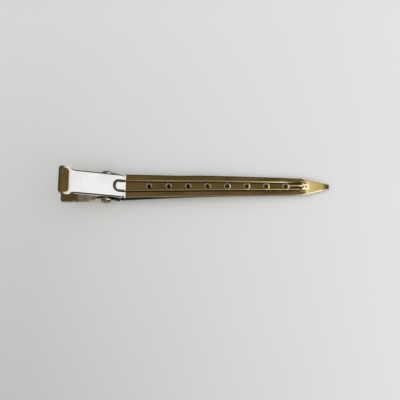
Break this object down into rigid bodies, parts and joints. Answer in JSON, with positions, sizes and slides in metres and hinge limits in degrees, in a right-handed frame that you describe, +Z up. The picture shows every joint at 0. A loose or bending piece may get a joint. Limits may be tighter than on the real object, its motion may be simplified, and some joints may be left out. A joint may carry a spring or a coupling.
{
  "type": "hair clip",
  "caption": "Slim steel sectioning hair clip with a row of holes in its upper jaw, flared finger handles, a hollow rivet and a torsion spring.",
  "frame": {"origin": "middle of the bounding box's bottom, on the surface the clip lies on", "axes": "+X runs from the finger handles to the tip, +Z is up, away from the plain arm's flat handle, and +Y is across the clip"},
  "size_m": [0.088, 0.01, 0.0148],
  "materials": {
    "lower_arm_steel": "bright nickel plate",
    "upper_arm_steel": "bright nickel plate",
    "rivet_steel": "bright nickel plate",
    "spring_steel": "plain drawn wire"
  },
  "bodies": {
    "lower_body": {"lower_arm": "lower_arm_steel", "pivot_rivet": "rivet_steel", "torsion_spring": "spring_steel"},
    "upper_body": {"upper_arm": "upper_arm_steel"}
  },
  "joints": [
    {"name": "jaw_hinge", "type": "hinge", "parent": "lower_body", "child": "upper_body", "pos_m": [-0.0284, 0, 0.0028], "axis": [0, -1, 0], "range_deg": [0, 45], "stiffness_Nm_per_rad": 0.026, "springref_deg": -91.67, "deforming": ["torsion_spring"]}
  ]
}
